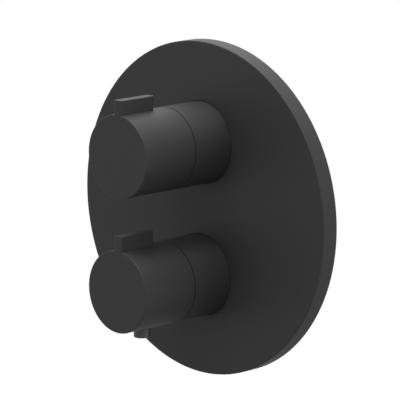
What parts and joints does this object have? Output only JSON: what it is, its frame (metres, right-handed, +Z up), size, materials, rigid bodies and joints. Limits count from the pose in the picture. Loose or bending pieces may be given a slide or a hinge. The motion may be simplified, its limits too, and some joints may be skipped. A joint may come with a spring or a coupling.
{
  "type": "thermostatic shower valve",
  "caption": "Concealed shower mixer: round faceplate, flow and diverter handle above, temperature handle with safety button below, thermostat body behind the wall.",
  "frame": {"origin": "centre of the faceplate's back face, on the finished wall", "axes": "+Z up, the user stands on the -Y side, +Y goes into the wall, +X to the user's right"},
  "size_m": [0.2, 0.1322, 0.2],
  "materials": {
    "black_plate": "matt black powder coat on steel",
    "black_sleeve": "matt black powder coat on brass",
    "black_knob": "matt black powder coat on zinc",
    "black_button": "matt black moulded plastic",
    "cast_brass": "sand cast, tumbled",
    "turned_brass": "turned, bright",
    "stainless_steel": "drawn, satin",
    "black_rubber": "moulded, dull",
    "white_plastic": "moulded, satin",
    "grey_plastic": "moulded, satin",
    "red_plastic": "moulded, satin",
    "blue_plastic": "moulded, satin",
    "alumina_disc": "lapped, smooth",
    "copper": "drawn copper, satin"
  },
  "bodies": {
    "valve": {"faceplate": "black_plate", "faceplate_gasket": "black_rubber", "faceplate_grip_rings": "black_rubber", "flow_sleeve": "black_sleeve", "temperature_sleeve": "black_sleeve", "flow_sleeve_carrier": "turned_brass", "temperature_sleeve_carrier": "turned_brass", "valve_body": "cast_brass", "hot_inlet_union": "turned_brass", "cold_inlet_union": "turned_brass", "handset_outlet_union": "turned_brass", "overhead_outlet_union": "turned_brass", "union_seals": "black_rubber", "hot_filter": "red_plastic", "cold_filter": "blue_plastic", "hot_check_housing": "white_plastic", "cold_check_housing": "white_plastic", "hot_check_spring": "stainless_steel", "cold_check_spring": "stainless_steel", "diverter_housing": "grey_plastic", "diverter_nut": "turned_brass", "diverter_base_seal": "black_rubber", "diverter_fixed_disc": "alumina_disc", "thermostat_housing": "white_plastic", "thermostat_nut": "turned_brass", "thermostat_gland": "turned_brass", "return_spring": "stainless_steel", "cartridge_seals": "black_rubber", "spindle_seals": "black_rubber", "temperature_stop_ring": "white_plastic"},
    "flow_control": {"flow_handle": "black_knob", "flow_grip_tab": "black_knob", "flow_tab_screw": "stainless_steel", "flow_grub_screw": "stainless_steel", "flow_adapter": "turned_brass", "diverter_spindle": "turned_brass", "diverter_turning_disc": "alumina_disc", "diverter_circlip": "stainless_steel"},
    "temperature_control": {"temperature_handle": "black_knob", "temperature_grip_tab": "black_knob", "temperature_tab_screw": "stainless_steel", "temperature_grub_screw": "stainless_steel", "temperature_adapter": "turned_brass", "thermostat_spindle": "turned_brass", "button_guide": "grey_plastic", "button_spring": "stainless_steel"},
    "regulator": {"regulating_nut": "turned_brass", "regulating_nut_circlip": "stainless_steel", "overload_cup": "turned_brass", "overload_spring": "stainless_steel", "wax_element": "copper", "mixing_shuttle": "grey_plastic"},
    "button": {"safety_button": "black_button", "button_pawl": "stainless_steel"},
    "hot_check": {"hot_check_poppet": "red_plastic"},
    "cold_check": {"cold_check_poppet": "blue_plastic"}
  },
  "joints": [
    {"name": "flow_handle_turn", "type": "hinge", "parent": "valve", "child": "flow_control", "pos_m": [0, 0, 0.04], "axis": [0, -1, 0], "range_deg": [-90, 90]},
    {"name": "temperature_handle_turn", "type": "hinge", "parent": "valve", "child": "temperature_control", "pos_m": [0, 0, -0.04], "axis": [0, -1, 0], "range_deg": [-210, 60]},
    {"name": "regulator_travel", "type": "slide", "parent": "valve", "child": "regulator", "axis": [0, 1, 0], "range_m": [-0.0009, 0.0003], "deforming": ["return_spring"]},
    {"name": "safety_button_press", "type": "slide", "parent": "temperature_control", "child": "button", "axis": [0, 0, 1], "range_m": [0, 0.0025], "stiffness_N_per_m": 600, "springref_m": -0.0015, "deforming": ["button_spring"]},
    {"name": "hot_check_lift", "type": "slide", "parent": "valve", "child": "hot_check", "axis": [1, 0, 0], "range_m": [0, 0.002], "stiffness_N_per_m": 100, "springref_m": -0.002, "deforming": ["hot_check_spring"]},
    {"name": "cold_check_lift", "type": "slide", "parent": "valve", "child": "cold_check", "axis": [-1, 0, 0], "range_m": [0, 0.002], "stiffness_N_per_m": 100, "springref_m": -0.002, "deforming": ["cold_check_spring"]}
  ],
  "couplings": [
    {"joint": "regulator_travel", "follows": "temperature_handle_turn", "m_per_rad": 0.00023873}
  ]
}
